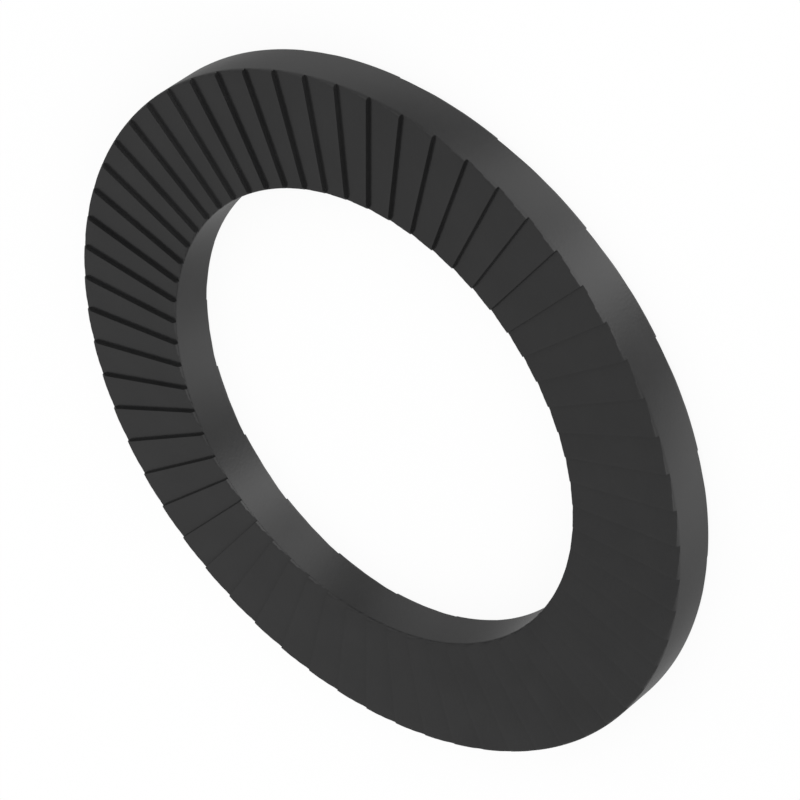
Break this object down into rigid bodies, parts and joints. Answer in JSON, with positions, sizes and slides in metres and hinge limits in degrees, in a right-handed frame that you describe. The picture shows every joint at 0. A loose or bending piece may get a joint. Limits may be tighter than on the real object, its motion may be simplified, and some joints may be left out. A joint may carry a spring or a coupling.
{
  "type": "serrated safety washer",
  "caption": "Flat steel locking ring with fine radial teeth on one face and wide wedge ramps on the other, clamped under a bolt head or nut so that it can't shake loose.",
  "frame": {"origin": "on the bore's axis, level with the lowest points of the cam face", "axes": "+Z along the bore, out of the toothed face; a tooth wall and a cam wall stand over +X"},
  "size_m": [0.0195, 0.0194, 0.0014],
  "materials": {
    "black_coated_steel": "satin black corrosion coating on hardened steel"
  },
  "bodies": {
    "root": {"serrated_washer": "black_coated_steel"}
  },
  "joints": []
}
